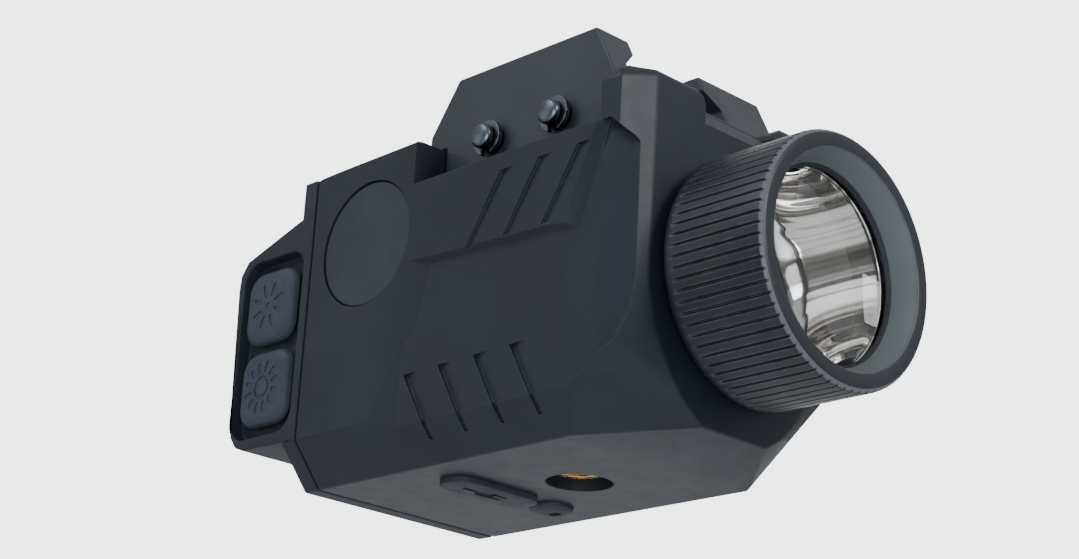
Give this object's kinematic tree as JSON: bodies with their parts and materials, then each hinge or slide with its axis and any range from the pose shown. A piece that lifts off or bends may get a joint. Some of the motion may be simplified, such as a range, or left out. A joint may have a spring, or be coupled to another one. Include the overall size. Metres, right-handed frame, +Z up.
{
  "type": "tactical flashlight",
  "caption": "Compact rail-mounted tactical light with a boxy housing, side push buttons, a knurled bezel, a spring-loaded rail clamp and a charging port under a rubber flap.",
  "frame": {"origin": "centre of the bounding box in X and Y, on the plane of the lowest face, which is the face of the port flap", "axes": "+X along the beam, +Y to the light's left, +Z up towards the rail"},
  "size_m": [0.0814, 0.0368, 0.0482],
  "materials": {
    "anodised_aluminium": "matt blue-black hard anodising over a fine blasted surface",
    "polymer": "matt",
    "rubber": "matt",
    "button_rubber": "matt, with pale printed icons",
    "dark_steel": "blackened",
    "bare_aluminium": "machined",
    "brass": "machined, bright",
    "circuit_board": "solder mask",
    "battery_wrap": "shrink wrap",
    "reflector_mirror": "smooth vapour-coated mirror",
    "lens_glass": "clear, coated",
    "emitter": "yellow phosphor under a clear dome"
  },
  "bodies": {
    "housing": {"main_housing": "anodised_aluminium", "side_disc_right": "polymer", "side_disc_left": "polymer", "rear_cap": "anodised_aluminium", "rear_gasket": "rubber", "cap_screw_upper_right": "dark_steel", "cap_screw_lower_right": "dark_steel", "cap_screw_upper_left": "dark_steel", "cap_screw_lower_left": "dark_steel", "upper_switch_right": "dark_steel", "lower_switch_right": "dark_steel", "upper_switch_left": "dark_steel", "lower_switch_left": "dark_steel", "switch_board_right": "circuit_board", "switch_board_left": "circuit_board", "battery_cell": "battery_wrap", "battery_spring": "brass", "contact_board": "circuit_board", "driver_board": "circuit_board", "heat_sink": "bare_aluminium", "led_board": "circuit_board", "led_emitter": "emitter", "reflector": "reflector_mirror", "lens": "lens_glass", "head_oring": "rubber", "fixed_jaw": "anodised_aluminium", "rail_key": "dark_steel", "clamp_pin_rear": "dark_steel", "clamp_pin_front": "dark_steel", "retaining_ring_rear": "dark_steel", "retaining_ring_front": "dark_steel", "jaw_spring_rear": "dark_steel", "jaw_spring_front": "dark_steel", "base_screw_rear": "dark_steel", "base_screw_front": "dark_steel", "flap_anchor": "rubber", "charge_socket": "dark_steel"},
    "bezel": {"bezel": "anodised_aluminium", "lens_gasket": "rubber"},
    "moving_jaw": {"moving_jaw": "anodised_aluminium"},
    "upper_button_right": {"upper_button_right": "button_rubber"},
    "lower_button_right": {"lower_button_right": "button_rubber"},
    "upper_button_left": {"upper_button_left": "button_rubber"},
    "lower_button_left": {"lower_button_left": "button_rubber"},
    "port_flap": {"port_flap": "rubber"},
    "set_screw": {"set_screw": "brass"}
  },
  "joints": [
    {"name": "upper_right_press", "type": "slide", "parent": "housing", "child": "upper_button_right", "axis": [0, 1, 0], "range_m": [0, 0.0006], "stiffness_N_per_m": 2000, "springref_m": -0.0004},
    {"name": "lower_right_press", "type": "slide", "parent": "housing", "child": "lower_button_right", "axis": [0, 1, 0], "range_m": [0, 0.0006], "stiffness_N_per_m": 2000, "springref_m": -0.0004},
    {"name": "upper_left_press", "type": "slide", "parent": "housing", "child": "upper_button_left", "axis": [0, -1, 0], "range_m": [0, 0.0006], "stiffness_N_per_m": 2000, "springref_m": -0.0004},
    {"name": "lower_left_press", "type": "slide", "parent": "housing", "child": "lower_button_left", "axis": [0, -1, 0], "range_m": [0, 0.0006], "stiffness_N_per_m": 2000, "springref_m": -0.0004},
    {"name": "jaw_slide", "type": "slide", "parent": "housing", "child": "moving_jaw", "axis": [0, 1, 0], "range_m": [0, 0.0035], "stiffness_N_per_m": 3000, "springref_m": -0.001, "deforming": ["jaw_spring_rear", "jaw_spring_front"]},
    {"name": "bezel_turn", "type": "hinge", "parent": "housing", "child": "bezel", "pos_m": [0.027, 0, 0.019], "axis": [1, 0, 0], "continuous": true},
    {"name": "flap_hinge", "type": "hinge", "parent": "housing", "child": "port_flap", "pos_m": [-0.0088, 0.0038, 0.00033], "axis": [1, 0, 0], "range_deg": [0, 100]},
    {"name": "set_screw_turn", "type": "hinge", "parent": "housing", "child": "set_screw", "pos_m": [0.0021, 0.0006, 0.0023], "axis": [0, 0, 1], "continuous": true}
  ]
}
